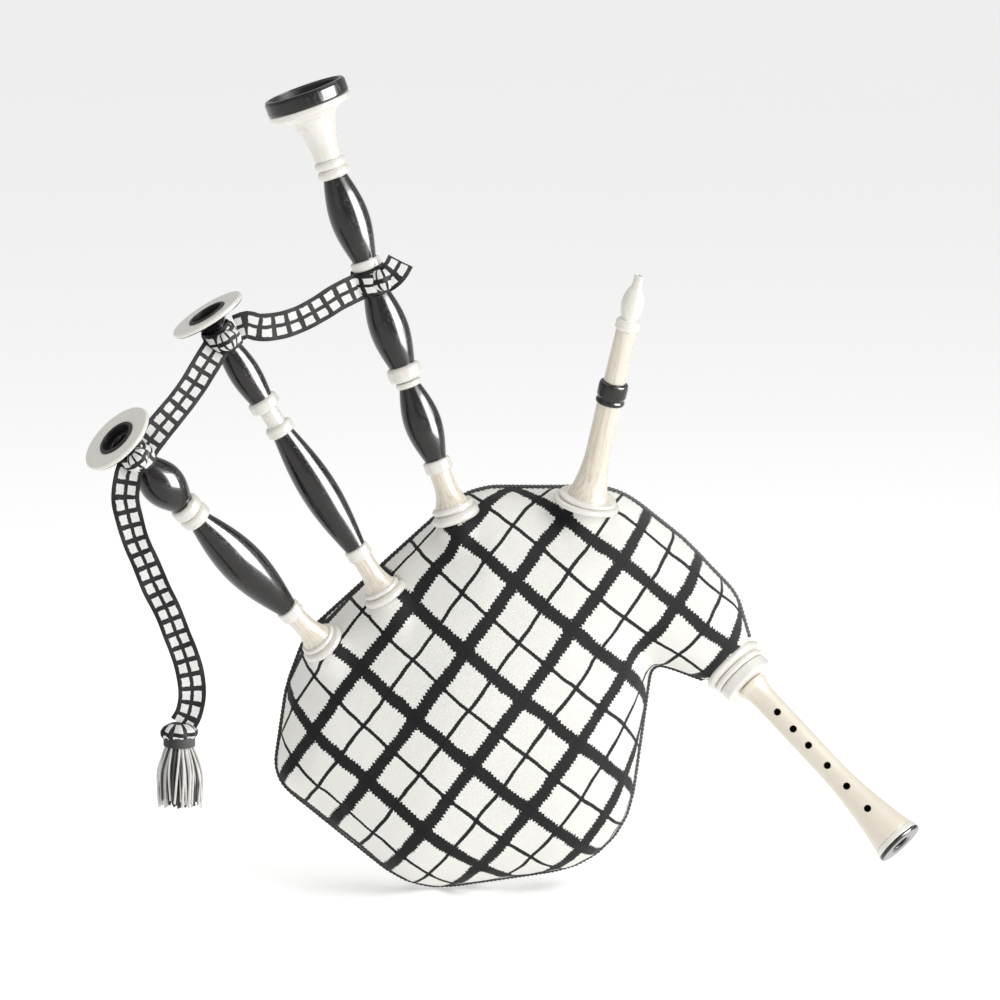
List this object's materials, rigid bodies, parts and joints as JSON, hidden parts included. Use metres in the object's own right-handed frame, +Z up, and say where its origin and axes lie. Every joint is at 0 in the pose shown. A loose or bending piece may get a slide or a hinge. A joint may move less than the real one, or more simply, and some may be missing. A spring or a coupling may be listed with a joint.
{
  "type": "bagpipes",
  "caption": "Highland bagpipes: a tartan covered bag with bass and tenor drones on tuning slides, a blowpipe with a valve and a chanter with a reed, joined by a checked ribbon",
  "frame": {"origin": "the middle of the bag, where the player's arm presses it", "axes": "+Z up in playing position, +X from the drones towards the chanter, +Y away from the listener, through the bag's flat sides"},
  "size_m": [0.9407, 0.334, 0.9449],
  "materials": {
    "tartan_cover": "woven wool, off-white with black bands",
    "hide": "matt seasoned hide",
    "binding_cord": "waxed cord",
    "ivory_mount": "polished ivory-white",
    "bell_lining": "oiled black wood",
    "pale_wood": "polished, very pale",
    "mouthpiece": "polished",
    "ebony": "high polish, black",
    "hemp": "waxed thread",
    "brass_staple": "drawn",
    "cane": "dry cane",
    "checked_ribbon": "woven black and white check",
    "valve_leather": "soft, oiled"
  },
  "bodies": {
    "bag": {"bag_cover": "tartan_cover", "inner_bag": "hide", "bass_stock": "pale_wood", "middle_stock": "pale_wood", "outer_stock": "pale_wood", "blowpipe_stock": "pale_wood", "chanter_stock": "pale_wood", "stock_bindings": "binding_cord", "stock_collars": "ivory_mount", "bass_stock_ferrule": "ivory_mount", "middle_stock_ferrule": "ivory_mount", "outer_stock_ferrule": "ivory_mount", "blowpipe_stock_ferrule": "ivory_mount", "chanter_stock_ferrule": "ivory_mount", "ribbon_at_bass": "checked_ribbon", "ribbon_to_middle": "checked_ribbon", "ribbon_from_middle": "checked_ribbon", "ribbon_to_outer": "checked_ribbon"},
    "bass_lower": {"bass_lower_joint": "ebony", "bass_hemp_windings": "hemp", "bass_reed": "cane", "bass_reed_tongue": "cane"},
    "bass_middle": {"bass_middle_joint": "ebony", "bass_middle_ferrule": "ivory_mount", "bass_slide_hemp": "hemp", "bass_ribbon_tie": "checked_ribbon"},
    "bass_top": {"bass_top_joint": "ebony", "bass_top_ferrule": "ivory_mount", "bass_bell_rings": "ivory_mount", "bass_bell": "ivory_mount", "bass_bell_bush": "bell_lining"},
    "middle_lower": {"middle_lower_joint": "ebony", "middle_hemp_windings": "hemp", "middle_reed": "cane", "middle_reed_tongue": "cane"},
    "middle_upper": {"middle_upper_joint": "ebony", "middle_upper_ferrule": "ivory_mount", "middle_bell": "ivory_mount", "middle_bell_bush": "ivory_mount", "middle_ribbon_tie": "checked_ribbon"},
    "outer_lower": {"outer_lower_joint": "ebony", "outer_hemp_windings": "hemp", "outer_reed": "cane", "outer_reed_tongue": "cane"},
    "outer_upper": {"outer_upper_joint": "ebony", "outer_upper_ferrule": "ivory_mount", "outer_bell": "ivory_mount", "outer_bell_bush": "ivory_mount", "outer_ribbon_tie": "checked_ribbon", "ribbon_tail": "checked_ribbon", "ribbon_tassel": "checked_ribbon"},
    "blowpipe": {"blowpipe": "pale_wood", "blowpipe_hemp": "hemp", "mouthpiece": "mouthpiece"},
    "valve": {"valve_flap": "valve_leather"},
    "chanter": {"chanter": "pale_wood", "chanter_sole": "ivory_mount", "chanter_hemp": "hemp", "chanter_reed_blades": "cane", "chanter_reed_staple": "brass_staple"}
  },
  "joints": [
    {"name": "bass_stock_turn", "type": "hinge", "parent": "bag", "child": "bass_lower", "pos_m": [-0.008, -0.045, 0.206], "axis": [-0.3305, 0, 0.9438], "continuous": true},
    {"name": "bass_middle_slide", "type": "slide", "parent": "bag", "child": "bass_middle", "axis": [-0.3305, 0, 0.9438], "range_m": [0, 0.03], "deforming": ["ribbon_at_bass"]},
    {"name": "bass_top_slide", "type": "slide", "parent": "bass_middle", "child": "bass_top", "axis": [-0.3305, 0, 0.9438], "range_m": [0, 0.03]},
    {"name": "middle_stock_turn", "type": "hinge", "parent": "bag", "child": "middle_lower", "pos_m": [-0.088, -0.058, 0.119], "axis": [-0.514, -0.1093, 0.8508], "continuous": true},
    {"name": "middle_tuning_slide", "type": "slide", "parent": "bag", "child": "middle_upper", "axis": [-0.514, -0.1093, 0.8508], "range_m": [-0.018, 0.02], "deforming": ["ribbon_to_middle", "ribbon_from_middle"]},
    {"name": "outer_stock_turn", "type": "hinge", "parent": "bag", "child": "outer_lower", "pos_m": [-0.159, -0.054, 0.062], "axis": [-0.6147, -0.352, 0.7059], "continuous": true},
    {"name": "outer_tuning_slide", "type": "slide", "parent": "bag", "child": "outer_upper", "axis": [-0.6147, -0.352, 0.7059], "range_m": [0, 0.038], "deforming": ["ribbon_to_outer"]},
    {"name": "blowpipe_turn", "type": "hinge", "parent": "bag", "child": "blowpipe", "pos_m": [0.138, -0.052, 0.225], "axis": [0.208, -0.1783, 0.9617], "continuous": true},
    {"name": "valve_hinge", "type": "hinge", "parent": "blowpipe", "child": "valve", "pos_m": [0.15317, -0.065, 0.32433], "axis": [0.6508, 0.7593, 0], "range_deg": [0, 30], "stiffness_Nm_per_rad": 0.002},
    {"name": "chanter_turn", "type": "hinge", "parent": "bag", "child": "chanter", "pos_m": [0.305, 0, 0.033], "axis": [0.661, -0.3619, -0.6574], "continuous": true}
  ]
}
